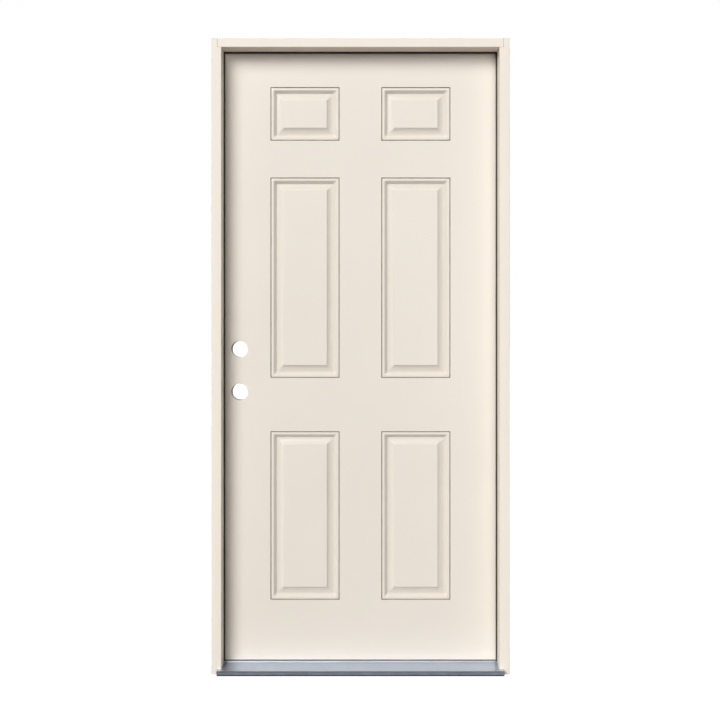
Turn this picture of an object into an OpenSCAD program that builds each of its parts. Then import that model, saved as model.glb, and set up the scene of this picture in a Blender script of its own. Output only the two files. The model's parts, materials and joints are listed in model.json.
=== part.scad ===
/* [Frame] */
// Width of the frame over the two side jambs
frame_w = 952.5; // [780:0.5:1200]
// Height of the frame, from the floor to the top of the head
frame_h = 2032; // [1690:1:2450]
// Depth of the frame, from its exterior edge to its interior edge
jamb_depth = 115.9; // [95:0.1:170]
// Thickness of a side jamb at its stop
jamb_t = 31.75; // [26:0.05:40]
// Thickness of the head at its stop, which stands out less than the side stops
head_t = 28.6; // [26:0.05:40]
// How far the stop stands out from the rabbet
stop_t = 12.7; // [9:0.1:16]
// Radius of the eased edges of the jambs
edge_r = 2.4; // [0.5:0.1:4]

/* [Door] */
// Thickness of the door
slab_t = 44.45; // [35:0.05:60]
// Gap between the door's edges and the rabbets
slab_gap = 3.175; // [2.6:0.005:5]
// Gap between the stops and the closed door, filled by the weatherstrip
seal_gap = 9.55; // [7.5:0.05:12]
// Thickness of the pressed steel skins
skin_t = 0.6; // [0.4:0.05:1.2]
// How far each skin is folded round the door's long edges
skin_return = 8; // [5:0.5:9]
// Width of the wood stiles at the door's edges
stile_w = 38; // [30:0.5:60]
// Height of the rails at the door's top and bottom
rail_h = 38; // [25:0.5:60]

/* [Panels] */
// From the door's side edge to the outline of a panel
panel_margin = 160.9; // [140:0.1:200]
// Between the two columns of panels
mullion_w = 135.4; // [80:0.1:200]
// From the top of the door to the top panels
top_margin = 118.9; // [70:0.1:160]
// Height of the top panels
top_panel_h = 174.9; // [120:0.1:260]
// Between the top panels and the tall ones
upper_rail = 119.5; // [60:0.1:160]
// Between the tall panels and the low ones
lock_rail = 173.3; // [100:0.1:240]
// Height of the low panels
low_panel_h = 549.2; // [400:0.1:650]
// From the bottom of the door to the low panels
bottom_margin = 194.1; // [120:0.1:260]
// Depth of the moulding below the door's face
panel_depth = 10.4; // [5:0.1:11]
// Width of the sharp groove that outlines a panel
quirk_w = 3.6; // [2:0.1:5]
// Depth of that groove
quirk_depth = 2.4; // [1.2:0.1:2.5]
// Width of the flat step inside the groove
fillet_w = 6.9; // [4:0.1:10]
// How far that step lies below the face
fillet_drop = 0.7; // [0.3:0.1:1.1]
// Width of the slope down to the bottom of the moulding
slope_w = 9.5; // [6:0.1:12]
// Width of the hollow that rises to the raised field
cove_w = 21.5; // [12:0.5:24]
// Width of the narrow flat between slope and hollow
floor_w = 1; // [1:0.1:3]

/* [Sill] */
// How far the sill's nose stands out in front of the jambs
nose_out = 22; // [10:0.5:40]
// Height of the top of the nose
nose_top = 16; // [13:0.5:20]
// Height of the bottom of the nose
nose_bottom = 3; // [2:0.5:5]
// Height of the deck where it reaches the cap
deck_top = 20.5; // [20:0.1:22]
// Height of the cap that the door closes over
cap_top = 23.5; // [22.8:0.1:26]
// Thickness of the metal deck
deck_t = 1.6; // [1:0.1:2.2]
// Gap between the cap and the bottom of the door
under_gap = 3.5; // [3:0.1:6]

/* [Lock preparation] */
// Height of the lock bore's centre above the floor
lock_z = 898.2; // [840:0.1:960]
// From the lock bore up to the deadbolt bore
bore_spacing = 139.7; // [100:0.1:180]
// From the door's edge to the centres of the bores
backset = 60.3; // [58:0.1:70]
// Diameter of the lock and deadbolt bores
lock_bore_d = 54; // [45:0.1:56]
// Diameter of the bores in the door's edge
edge_bore_d = 25.4; // [20:0.1:26]
// Width of the wood block round the bores
block_w = 84; // [70:1:95]
// How far the block reaches past the bores' centres
block_over = 60; // [45:1:90]

/* [Hinges] */
// Height of a hinge
hinge_h = 101.6; // [80:0.1:125]
// From the door's top to the top hinge
hinge_top_margin = 177.8; // [120:0.1:260]
// From the door's bottom to the bottom hinge
hinge_bottom_margin = 279.4; // [120:0.1:330]
// Thickness of a hinge leaf
leaf_t = 2.2; // [1.6:0.1:3]
// How far a leaf reaches into the door's edge
leaf_in = 38; // [34:0.5:42]
// Corner radius of a leaf
leaf_corner_r = 15.9; // [6:0.1:16]
// Radius of a hinge pin
pin_r = 3.1; // [2.5:0.05:3.6]
// Radius of a knuckle
knuckle_r = 5.4; // [5:0.05:5.8]
// From the door's inside face to the pin's axis
pin_out = 6; // [5.8:0.05:8]
// Clearance of a pin in its knuckles
pin_clear = 0.05; // [0.02:0.01:0.1]

/* [Hidden] */
$fn = 48;

// Clearance between a seal and the door that passes it
seal_clear = 0.3;
// Overshoot of a cut past the solid that it cuts
e = 1;
primer = [0.91, 0.87, 0.81];
steel = [0.62, 0.62, 0.6];
wood = [0.78, 0.62, 0.42];
vinyl = [0.2, 0.17, 0.14];

// Places across the depth, with the whole part centred on Y
back_out = pin_out + knuckle_r;
y_out = nose_out - (nose_out + jamb_depth + back_out) / 2;
y_in = y_out + jamb_depth;
y_nose = y_out - nose_out;
y_face = y_in - slab_t;
y_stop = y_face - seal_gap;
stop_depth = y_stop - y_out;

// Places across the width and up the height
rabbet_t = jamb_t - stop_t;
inner_w = frame_w - 2 * rabbet_t;
rabbet_x = inner_w / 2;
slab_w = inner_w - 2 * slab_gap;
slab_x = slab_w / 2;
slab_bottom = cap_top + under_gap;
slab_top = frame_h - rabbet_t - slab_gap;
soffit_z = frame_h - head_t;
rabbet_top = frame_h - rabbet_t;
bore_x = -slab_x + backset;
bore_heights = [lock_z, lock_z + bore_spacing];

// Panels, each as [centre x, centre z, width, height]
panel_w = (slab_w - 2 * panel_margin - mullion_w) / 2;
panel_x = (mullion_w + panel_w) / 2;
low_z = slab_bottom + bottom_margin;
tall_z = low_z + low_panel_h + lock_rail;
top_z = slab_top - top_margin - top_panel_h;
tall_panel_h = top_z - upper_rail - tall_z;
panel_rows = [[low_z, low_panel_h], [tall_z, tall_panel_h], [top_z, top_panel_h]];
panels = [for (side = [-1, 1]) for (row = panel_rows)
  [side * panel_x, row[0] + row[1] / 2, panel_w, row[1]]];
skin_block = panel_depth + skin_t + e;
slope_at = quirk_w + fillet_w;
floor_at = slope_at + slope_w;
cove_at = floor_at + floor_w;
cove_rise = panel_depth - fillet_drop;
cove_r = (cove_w * cove_w + cove_rise * cove_rise) / (2 * cove_rise);
cove_steps = 8;
quirk_flat = 0.3;
quirk_in = (quirk_w - quirk_flat) / 2;

// Kerf that holds a weatherstrip, counted from the back of the jamb
kerf_w = 3;
kerf_depth = 10;
kerf_in = 4.5;
kerf_u = rabbet_t + kerf_in;
seal_t = seal_gap - seal_clear;
seal_over = 5;
pad_t = 1.4;
pad_h = 50;

// Wood screws
screw_r = 2.1;
screw_head_r = 4.2;
screw_head_h = 2.1;
screw_clear = 0.05;
screw_point_r = 0.4;
pilot_r = screw_r + screw_clear;
frame_screw_l = rabbet_t - 1.5;
door_screw_l = 25.4;
joint_screw_l = 50;
edge_in = 22;

// Hinges
hinge_x = rabbet_x - slab_gap / 2;
hinge_y = y_in + pin_out;
knuckles = 5;
knuckle_h = hinge_h / knuckles;
knuckle_gap = 0.3;
knuckle_clear = 0.35;
pin_head_h = 3;
pin_head_r = knuckle_r - 0.4;
hinge_low = slab_bottom + hinge_bottom_margin;
hinge_high = slab_top - hinge_top_margin - hinge_h;
hinge_bases = [hinge_low, (hinge_low + hinge_high) / 2, hinge_high];
// Places of the screws in a leaf, as shares of its height from its middle and of its reach
leaf_screw_rows = [[0.38, 0.68], [0.16, 0.34]];
hinge_screws = [for (k = [-1, 1]) for (s = leaf_screw_rows) [k * s[0] * hinge_h, y_in - s[1] * leaf_in]];

// Sill
lip_drop = 0.4;
lip_y = y_face - 3;
lip_t = 1.6;
lip_top = cap_top - lip_drop;
channel_z = 17.5;
cap_ease = 0.8;
nose_ease = 1.5;
rib_d = 1.2;
rib_h = 3.2;
board_y = y_nose + rib_d + deck_t;
head_screw_z = frame_h - rabbet_t / 2;
sill_screw_z = nose_top / 2;

// Seals under the door and beside it
fin_t = 1.4;
fin_pitch = 2.5;
pad_in = 8;
sweep_t = 1.2;
sweep_in = 3;
barb_w = 2;
barb_h = 8;
barb_clear = 0.2;
sweep_barbs = [y_face + slab_t / 4, y_in - slab_t / 4];
sweep_fins = [y_face + sweep_in + sweep_t, y_face + slab_t / 2, y_in - sweep_in - sweep_t];

// Wood block round the bores
block_x = -slab_x + stile_w + block_w;
block_low = lock_z - block_over;
block_high = lock_z + bore_spacing + block_over;

// Lock fronts and strikes
front_t = 3;
front_w = edge_bore_d;
front_h = 57.2;
strike_t = 2.4;
strike_w = 28.6;
strike_h = 69.9;
strike_y = y_face + slab_t / 2;

// ---- shapes that more than one piece uses ----

// A box from its low corner to its high corner
module span(low, high) {
  translate(low) cube(high - low);
}

// Round cylinder along X, from x towards +X
module rod_x(x, y, z, r, length) {
  translate([x, y, z]) rotate([0, 90, 0]) cylinder(r = r, h = length);
}

// Round cylinder along Y, from y towards +Y
module rod_y(x, y, z, r, length) {
  translate([x, y, z]) rotate([-90, 0, 0]) cylinder(r = r, h = length);
}

// What easing takes off a square corner that points towards -X and -Y
module ease() {
  difference() {
    translate([-e, -e]) square(edge_r + e);
    translate([edge_r, edge_r]) circle(edge_r);
  }
}

// Outline of a jamb, with its back on X = 0 and its exterior edge on Y = 0. One that is
// wider than its rabbet has a stop.
module jamb_outline(wide) {
  with_stop = wide > rabbet_t;
  difference() {
    union() {
      square([rabbet_t, jamb_depth]);
      if (with_stop) square([wide, stop_depth]);
    }
    if (with_stop) translate([kerf_u - kerf_w / 2, stop_depth - kerf_depth])
      square([kerf_w, kerf_depth + e]);
    ease();
    if (with_stop) translate([wide, 0]) mirror([1, 0]) ease();
    translate([rabbet_t, jamb_depth]) mirror([1, 0]) mirror([0, 1]) ease();
  }
}

// Height of the deck's sloping top at a place across the depth
function deck_z(y) = nose_top
  + (deck_top - nose_top) * (y - y_nose - nose_ease) / (lip_y - y_nose - nose_ease);

// What the stops are cut away by where they stand on the sill
cope_line = [
  [y_out - e, -e],
  [y_out - e, deck_z(y_out - e)],
  [y_stop + e, deck_z(y_stop + e)],
  [y_stop + e, -e]];

// A side jamb, built as the left one
module side_jamb() {
  difference() {
    translate([-frame_w / 2, y_out]) union() {
      linear_extrude(frame_h) jamb_outline(rabbet_t);
      linear_extrude(soffit_z) jamb_outline(jamb_t);
    }
    // coped over the sill
    translate([-rabbet_x, 0, 0]) rotate([90, 0, 90]) linear_extrude(stop_t + e)
      polygon(cope_line);
    for (y = [y_out + edge_in, y_in - edge_in]) joint_screw_holes(y);
  }
}

module joint_screw_holes(y) {
  for (z = [head_screw_z, sill_screw_z]) {
    rod_x(-frame_w / 2 - e, y, z, pilot_r, rabbet_t + 2 * e);
    translate([-frame_w / 2, y, z]) rotate([0, 90, 0]) screw_sink();
  }
}

// Countersink and head, with the flat of the head on Z = 0 and the screw going up
module screw_sink() {
  translate([0, 0, -e]) cylinder(r = screw_head_r + 2 * screw_clear, h = e);
  cylinder(r1 = screw_head_r + 2 * screw_clear, r2 = pilot_r, h = screw_head_h);
}

module screw(length) {
  cylinder(r1 = screw_head_r, r2 = screw_r, h = screw_head_h);
  translate([0, 0, screw_head_h]) cylinder(r = screw_r, h = length - screw_head_h - 2 * screw_r);
  translate([0, 0, length - 2 * screw_r]) cylinder(r1 = screw_r, r2 = screw_point_r, h = 2 * screw_r);
}

// Outline of a hinge leaf in Y and Z, standing on Z 0: square at the pin, round at its other corners
module leaf_outline(y_low, y_high) {
  y_mid = y_low + leaf_corner_r;
  translate([y_mid, 0]) square([y_high - y_mid, hinge_h]);
  translate([y_low, leaf_corner_r]) square([leaf_corner_r, hinge_h - 2 * leaf_corner_r]);
  for (z = [leaf_corner_r, hinge_h - leaf_corner_r]) translate([y_mid, z]) circle(leaf_corner_r);
}

// A leaf's plate from x towards +X
module leaf_plate(x, thick, y_high) {
  translate([x, 0, 0]) rotate([90, 0, 90]) linear_extrude(thick)
    leaf_outline(y_in - leaf_in, y_high);
}

// One leaf of a hinge: side is 1 on the jamb and -1 on the door
module hinge_leaf(side, z_low) {
  plate_x = side > 0 ? rabbet_x : slab_x - leaf_t;
  color(steel) translate([0, 0, z_low]) difference() {
    union() {
      leaf_plate(plate_x, leaf_t, hinge_y);
      for (k = [0 : knuckles - 1]) if (k % 2 == (side > 0 ? 0 : 1)) own_knuckle(k);
    }
    for (k = [0 : knuckles - 1]) if (k % 2 == (side > 0 ? 1 : 0)) other_knuckle(k);
    translate([hinge_x, hinge_y, -e]) cylinder(r = pin_r + pin_clear, h = hinge_h + 2 * e);
    for (s = hinge_screws) translate([side > 0 ? rabbet_x : slab_x, s[1], hinge_h / 2 + s[0]])
      rotate([0, side * 90, 0]) leaf_screw_hole();
  }
}

module leaf_screw_hole() {
  screw_sink();
  cylinder(r = pilot_r, h = leaf_t + e);
}

// The end knuckles keep the hinge's full height, and the others leave the running gap
module own_knuckle(k) {
  low = k == 0 ? 0 : knuckle_gap / 2;
  high = k == knuckles - 1 ? 0 : knuckle_gap / 2;
  translate([hinge_x, hinge_y, k * knuckle_h + low])
    cylinder(r = knuckle_r, h = knuckle_h - low - high);
}

module other_knuckle(k) {
  room = knuckle_r + knuckle_clear;
  low = k == 0 ? e : knuckle_gap / 2;
  high = k == knuckles - 1 ? e : knuckle_gap / 2;
  translate([hinge_x, hinge_y, k * knuckle_h - low])
    cylinder(r = room, h = knuckle_h + low + high);
}

module hinge_pin(z_low) {
  color(steel) translate([hinge_x, hinge_y, z_low]) {
    cylinder(r = pin_r, h = hinge_h);
    translate([0, 0, hinge_h]) cylinder(r = pin_head_r, h = pin_head_h);
  }
}

// Section of the moulding across a panel of width w, by inset from its outline
function mirrored(points, w) = concat(
  [for (p = points) [p[0] - w / 2, p[1]]],
  [for (i = [len(points) - 1 : -1 : 0]) [w / 2 - points[i][0], points[i][1]]]);

outline_groove = [[0, -e], [0, 0], [quirk_in, quirk_depth]];
inner_step = [
  [quirk_w - quirk_in, quirk_depth + e],
  [quirk_w - quirk_in, quirk_depth],
  [quirk_w, fillet_drop]];
deep_slope = [[slope_at, -e], [slope_at, fillet_drop], [floor_at, panel_depth]];
raised_field = concat([[cove_at, panel_depth + e]],
  [for (i = [0 : cove_steps]) let (s = cove_w * i / cove_steps)
    [cove_at + s, panel_depth - cove_r + sqrt(cove_r * cove_r - s * s)]]);

// The same section run along both sides of a panel, so that its corners are mitred
module mitred(points, w, h) {
  intersection() {
    translate([0, 0, -h / 2 - e]) linear_extrude(h + 2 * e)
      polygon(mirrored(points, w));
    translate([-w / 2 - e, 0, 0]) rotate([0, 90, 0]) linear_extrude(w + 2 * e)
      polygon(mirrored(points, h));
  }
}

// What the moulding takes off a face that lies on Y = 0 and looks towards -Y
module panel_relief(w, h) {
  difference() {
    union() {
      difference() {
        mitred(outline_groove, w, h);
        mitred(inner_step, w, h);
      }
      mitred(deep_slope, w, h);
    }
    mitred(raised_field, w, h);
  }
}

module all_reliefs() {
  for (p = panels) translate([p[0], 0, p[1]]) panel_relief(p[2], p[3]);
}

// The round bores through the door
module lock_bores() {
  for (z = bore_heights) rod_y(bore_x, y_face - e, z, lock_bore_d / 2, slab_t + 2 * e);
}

// A pressed skin, with its face on Y = 0 and the door behind it
module skin() {
  difference() {
    difference() {
      span([-slab_x, 0, slab_bottom], [slab_x, skin_block, slab_top]);
      all_reliefs();
    }
    translate([0, skin_t, 0]) difference() {
      span([-slab_x - e, 0, slab_bottom - e], [slab_x + e, skin_block + e, slab_top + e]);
      all_reliefs();
    }
  }
  for (x = [-slab_x, slab_x - skin_t]) span([x, 0, slab_bottom], [x + skin_t, skin_return, slab_top]);
}

// Puts what was drawn behind Y = 0 onto the door's outside or inside face
module on_outside() {
  translate([0, y_face, 0]) children();
}

module on_inside() {
  translate([0, y_in, 0]) mirror([0, 1, 0]) children();
}

// A stile, built as the left one, with steps for the folded edges of the skins
module stile() {
  difference() {
    span([-slab_x, y_face + skin_t, slab_bottom], [-slab_x + stile_w, y_in - skin_t, slab_top]);
    for (y = [y_face - e, y_in - skin_return])
      span([-slab_x - e, y, slab_bottom - e], [-slab_x + skin_t, y + skin_return + e, slab_top + e]);
  }
}

module hinge_mortises(x) {
  for (z = hinge_bases) translate([0, 0, z]) leaf_plate(x, leaf_t + e, y_in + e);
}

// A rail between the stiles
module rail(z_low) {
  span([-slab_x + stile_w, y_face + skin_t, z_low], [slab_x - stile_w, y_in - skin_t, z_low + rail_h]);
}

// ---- frame ----

module strike_jamb() {
  color(primer) difference() {
    side_jamb();
    for (z = bore_heights) {
      span([-rabbet_x - strike_t, strike_y - strike_w / 2, z - strike_h / 2],
        [-rabbet_x + e, strike_y + strike_w / 2, z + strike_h / 2]);
      rod_x(-frame_w / 2 - e, strike_y, z, edge_bore_d / 2, rabbet_t + 2 * e);
    }
  }
}

module hinge_jamb() {
  color(primer) difference() {
    mirror([1, 0, 0]) side_jamb();
    hinge_mortises(rabbet_x - e);
    hinge_mortises(rabbet_x);
    for (z = hinge_bases) for (s = hinge_screws)
      rod_x(rabbet_x - e, s[1], z + hinge_h / 2 + s[0], pilot_r, frame_screw_l + e);
  }
}

module head_jamb() {
  color(primer) difference() {
    translate([-rabbet_x, y_out, frame_h]) rotate([0, 90, 0]) linear_extrude(inner_w) jamb_outline(head_t);
    joint_pilots(head_screw_z);
  }
}

// ---- sill ----

// A profile in Y and Z, run between the rabbets
module sill_run(points) {
  translate([-rabbet_x, 0, 0]) rotate([90, 0, 90]) linear_extrude(inner_w) polygon(points);
}

// The two side jambs' screws into what lies between them, at height z
module joint_screws(z) {
  color(steel) for (side = [0, 1]) mirror([side, 0, 0]) for (y = [y_out + edge_in, y_in - edge_in])
    translate([-frame_w / 2, y, z]) rotate([0, 90, 0]) screw(joint_screw_l);
}

module joint_pilots(z) {
  for (side = [0, 1]) mirror([side, 0, 0]) for (y = [y_out + edge_in, y_in - edge_in])
    rod_x(-rabbet_x - e, y, z, pilot_r, joint_screw_l - rabbet_t + 2 * e);
}

module sill_substrate() {
  color("dimgray") difference() {
    sill_run([[board_y, 0], [board_y, deck_z(board_y) - deck_t], [lip_y, deck_top - deck_t],
      [lip_y, channel_z - deck_t], [y_in - deck_t, channel_z - deck_t], [y_in - deck_t, 0]]);
    joint_pilots(sill_screw_z);
  }
}

// The ribs of the nose, up its face
nose_face = [
  [y_nose + rib_d, nose_bottom], [y_nose + rib_d, nose_top - 3 * rib_h],
  [y_nose, nose_top - 3 * rib_h], [y_nose, nose_top - 2 * rib_h],
  [y_nose + rib_d, nose_top - 2 * rib_h], [y_nose + rib_d, nose_top - rib_h],
  [y_nose, nose_top - rib_h], [y_nose, nose_top - nose_ease], [y_nose + nose_ease, nose_top]];

module sill_deck() {
  color("lightsteelblue") sill_run(concat(nose_face,
    [[lip_y, deck_top], [lip_y, lip_top], [lip_y + lip_t, lip_top], [lip_y + lip_t, channel_z],
     [y_in - deck_t, channel_z], [y_in - deck_t, lip_top], [y_in, lip_top], [y_in, nose_bottom],
     [y_in - deck_t, nose_bottom], [y_in - deck_t, channel_z - deck_t], [lip_y, channel_z - deck_t],
     [lip_y, deck_top - deck_t], [board_y, deck_z(board_y) - deck_t],
     [board_y, nose_bottom]]));
}

module sill_cap() {
  front = lip_y + lip_t;
  back = y_in - deck_t;
  color("tan") sill_run([[front, channel_z], [front, cap_top - cap_ease], [front + cap_ease, cap_top],
    [back - cap_ease, cap_top], [back, cap_top - cap_ease], [back, channel_z]]);
}

// ---- seals of the frame ----

// Section of a weatherstrip, in the same place as the outline of a jamb that is this wide
module seal_bulb(wide) {
  r = seal_t / 2;
  low = rabbet_t + seal_clear + r;
  high = wide + seal_over - r;
  translate([low, stop_depth]) square([high - low, seal_t]);
  for (u = [low, high]) translate([u, stop_depth + r]) circle(r);
}

module seal_fin() {
  root = stop_depth - kerf_depth + e;
  translate([kerf_u - fin_t / 2, root]) square([fin_t, kerf_depth - e + seal_t / 2]);
  barb = kerf_w / 2 - barb_clear / 2;
  for (k = [0, 1, 2]) translate([kerf_u, root + k * fin_pitch])
    polygon([[0, 0], [barb, fin_pitch / 2], [-barb, fin_pitch / 2]]);
}

module side_seal() {
  translate([-frame_w / 2, y_out, cap_top]) {
    linear_extrude(rabbet_top - cap_top) seal_bulb(jamb_t);
    linear_extrude(soffit_z - cap_top) seal_fin();
  }
}

module strike_weatherstrip() {
  color(vinyl) side_seal();
}

module hinge_weatherstrip() {
  color(vinyl) mirror([1, 0, 0]) side_seal();
}

module head_weatherstrip() {
  reach = frame_w / 2 - jamb_t - seal_over;
  color(vinyl) translate([-reach, y_out, frame_h]) rotate([0, 90, 0]) linear_extrude(2 * reach) {
    seal_bulb(head_t);
    seal_fin();
  }
}

module corner_pads() {
  color("dimgray") for (side = [0, 1]) mirror([side, 0, 0])
    span([-rabbet_x, y_face, cap_top], [-rabbet_x + pad_t, y_in - pad_in, cap_top + pad_h]);
}

// ---- screws ----

module head_joint_screws() {
  joint_screws(head_screw_z);
}

module sill_joint_screws() {
  joint_screws(sill_screw_z);
}

module frame_leaf_screws() {
  color(steel) for (z = hinge_bases) for (s = hinge_screws)
    translate([rabbet_x, s[1], z + hinge_h / 2 + s[0]]) rotate([0, 90, 0]) screw(frame_screw_l);
}

module door_leaf_screws() {
  color(steel) for (z = hinge_bases) for (s = hinge_screws)
    translate([slab_x, s[1], z + hinge_h / 2 + s[0]]) rotate([0, -90, 0]) screw(door_screw_l);
}

// ---- door ----

module outer_skin() {
  color(primer) difference() {
    on_outside() skin();
    lock_bores();
    hinge_mortises(slab_x - leaf_t);
  }
}

module inner_skin() {
  color(primer) difference() {
    on_inside() skin();
    lock_bores();
    hinge_mortises(slab_x - leaf_t);
  }
}

module foam_core() {
  color("khaki") difference() {
    span([-slab_x + stile_w, y_face + skin_t, slab_bottom + rail_h],
      [slab_x - stile_w, y_in - skin_t, slab_top - rail_h]);
    on_outside() translate([0, skin_t, 0]) all_reliefs();
    on_inside() translate([0, skin_t, 0]) all_reliefs();
    span([-slab_x + stile_w - e, y_face, block_low], [block_x, y_in, block_high]);
  }
}

module edge_bores() {
  for (z = bore_heights) rod_x(-slab_x - e, strike_y, z, edge_bore_d / 2, backset + e);
}

module lock_stile() {
  color(wood) difference() {
    stile();
    lock_bores();
    edge_bores();
    for (z = bore_heights) span([-slab_x - e, strike_y - front_w / 2, z - front_h / 2],
      [-slab_x + front_t, strike_y + front_w / 2, z + front_h / 2]);
  }
}

module hinge_stile() {
  color(wood) difference() {
    mirror([1, 0, 0]) stile();
    hinge_mortises(slab_x - leaf_t);
    for (z = hinge_bases) for (s = hinge_screws)
      rod_x(slab_x - door_screw_l, s[1], z + hinge_h / 2 + s[0], pilot_r, door_screw_l + e);
  }
}

module lock_block() {
  color(wood) difference() {
    span([-slab_x + stile_w, y_face + skin_t, block_low], [block_x, y_in - skin_t, block_high]);
    lock_bores();
    edge_bores();
  }
}

module top_rail() {
  color(wood) rail(slab_top - rail_h);
}

module bottom_rail() {
  color("tan") difference() {
    rail(slab_bottom);
    for (y = sweep_barbs) span([-slab_x, y - barb_w / 2 - barb_clear, slab_bottom - e],
      [slab_x, y + barb_w / 2 + barb_clear, slab_bottom + barb_h + e]);
  }
}

module door_sweep() {
  color(vinyl) {
    span([-slab_x + e, y_face + sweep_in, slab_bottom - sweep_t],
      [slab_x - e, y_in - sweep_in, slab_bottom]);
    for (y = sweep_fins) span([-slab_x + e, y - sweep_t / 2, cap_top + seal_clear],
      [slab_x - e, y + sweep_t / 2, slab_bottom - sweep_t / 2]);
    for (y = sweep_barbs) span([-slab_x + stile_w + e, y - barb_w / 2, slab_bottom - sweep_t / 2],
      [slab_x - stile_w - e, y + barb_w / 2, slab_bottom + barb_h]);
  }
}

// ---- hinges ----

module bottom_hinge_frame_leaf() { hinge_leaf(1, hinge_bases[0]); }
module middle_hinge_frame_leaf() { hinge_leaf(1, hinge_bases[1]); }
module top_hinge_frame_leaf() { hinge_leaf(1, hinge_bases[2]); }
module bottom_hinge_door_leaf() { hinge_leaf(-1, hinge_bases[0]); }
module middle_hinge_door_leaf() { hinge_leaf(-1, hinge_bases[1]); }
module top_hinge_door_leaf() { hinge_leaf(-1, hinge_bases[2]); }
module bottom_hinge_pin() { hinge_pin(hinge_bases[0]); }
module middle_hinge_pin() { hinge_pin(hinge_bases[1]); }
module top_hinge_pin() { hinge_pin(hinge_bases[2]); }

strike_jamb();
hinge_jamb();
head_jamb();
sill_substrate();
sill_deck();
sill_cap();
strike_weatherstrip();
hinge_weatherstrip();
head_weatherstrip();
corner_pads();
head_joint_screws();
sill_joint_screws();
frame_leaf_screws();
door_leaf_screws();
outer_skin();
inner_skin();
foam_core();
lock_stile();
hinge_stile();
lock_block();
top_rail();
bottom_rail();
door_sweep();
top_hinge_frame_leaf();
middle_hinge_frame_leaf();
bottom_hinge_frame_leaf();
top_hinge_door_leaf();
middle_hinge_door_leaf();
bottom_hinge_door_leaf();
top_hinge_pin();
middle_hinge_pin();
bottom_hinge_pin();
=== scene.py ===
# %% [markdown]
# # A six-panel front door, hung in its frame
# The real object is a steel-skinned front door. Two pressed skins are bonded to a foam core with wood
# stiles and rails round it. The door hangs on three butt hinges in a rabbeted wood frame, over an
# aluminium sill, and closes against soft weatherstrips. Door and frame come primed, ready for paint.
#
# The construction model gives every size and place. It is loaded first and nothing in it is moved.
# What it has right keeps its shape and only gets a finish. The pressed skins, the weatherstrips and the
# screws are made again here, because their soft bends and recesses are too fine for the plain solids.

# %% Load the fixed frame
import json

import bpy
import numpy as np
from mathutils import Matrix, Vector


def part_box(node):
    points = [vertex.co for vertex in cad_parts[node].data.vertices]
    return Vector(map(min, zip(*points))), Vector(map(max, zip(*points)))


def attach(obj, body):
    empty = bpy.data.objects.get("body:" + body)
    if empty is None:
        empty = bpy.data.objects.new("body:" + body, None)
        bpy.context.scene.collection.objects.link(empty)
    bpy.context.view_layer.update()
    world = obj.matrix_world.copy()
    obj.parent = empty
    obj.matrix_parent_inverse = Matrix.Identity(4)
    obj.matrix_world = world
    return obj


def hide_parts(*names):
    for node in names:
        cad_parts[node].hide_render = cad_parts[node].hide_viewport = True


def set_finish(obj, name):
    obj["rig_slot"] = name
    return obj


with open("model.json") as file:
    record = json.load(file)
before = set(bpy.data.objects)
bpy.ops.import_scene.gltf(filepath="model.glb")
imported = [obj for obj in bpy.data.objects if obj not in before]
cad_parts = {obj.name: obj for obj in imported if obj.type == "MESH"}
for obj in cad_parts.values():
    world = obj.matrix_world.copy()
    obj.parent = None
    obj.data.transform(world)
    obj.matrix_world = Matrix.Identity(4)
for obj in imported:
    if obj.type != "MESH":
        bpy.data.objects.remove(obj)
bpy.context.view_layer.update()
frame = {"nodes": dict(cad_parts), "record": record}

mm = 0.001

# %% [markdown]
# ## Places
# Each place is read from the construction model, so that a piece made here fits to what stays. The door
# is hung in the frame at rest, closed, with its outside face towards -Y and its hinges at +X.

# %% Places of the door and the frame
def corners(node):
    """The lowest and highest corner of a construction node, as arrays."""
    low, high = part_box(node)
    return np.array(low), np.array(high)


skin_low, skin_high = corners("outer_skin")
inside_y = corners("inner_skin")[1][1]
jamb_low = corners("strike_jamb")[0]
door_x = skin_high[0]
door_bottom, door_top = skin_low[2], skin_high[2]
face_y = skin_low[1]
frame_x, frame_front = -jamb_low[0], jamb_low[1]
head_low, head_high = corners("head_jamb")
rabbet_x, soffit_z = head_high[0], head_low[2]
print("door, mm:", np.round([2 * door_x / mm, (inside_y - face_y) / mm, (door_top - door_bottom) / mm], 2))

# %% [markdown]
# ## Small tools
# A new piece is a grid of points or several of them, worked out as whole arrays. One helper numbers the
# corners of a grid's cells. Another turns points and cells into an object, merges the points that two
# grids share, and marks the edges that should look crisp.

# %% Grids and pieces
import bmesh


def cells(rows, columns, ring=False):
    """Corner numbers of the cells of a grid, four to a cell. With ring, the last column joins the first."""
    number = np.arange(rows * columns).reshape(rows, columns)
    if ring:
        number = np.hstack([number, number[:, :1]])
    return np.stack([number[:-1, :-1], number[:-1, 1:], number[1:, 1:], number[1:, :-1]], -1).reshape(-1, 4)


def joined(parts):
    """Several (points, faces) as one: each part's corner numbers are raised by the points before it."""
    points, faces, before = [], [], 0
    for part_points, part_faces in parts:
        points.append(part_points.reshape(-1, 3))
        faces.append(part_faces + before)
        before += len(points[-1])
    return np.vstack(points), np.vstack(faces)


def crisp(mesh, degrees=32):
    """Smooth shading, with an edge kept sharp where its two faces turn by more than the angle."""
    mesh.shade_smooth()
    mesh.set_sharp_from_angle(angle=np.radians(degrees))


def make_piece(name, points, faces, merge=0.0):
    """An object at the origin from points in metres and triangles or quads by corner number."""
    mesh = bpy.data.meshes.new(name)
    mesh.from_pydata(points.tolist(), [], faces.tolist())
    if merge:
        work = bmesh.new()
        work.from_mesh(mesh)
        bmesh.ops.remove_doubles(work, verts=work.verts, dist=merge)
        work.to_mesh(mesh)
        work.free()
    mesh.validate()
    crisp(mesh)
    piece = bpy.data.objects.new(name, mesh)
    bpy.context.scene.collection.objects.link(piece)
    return piece


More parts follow.
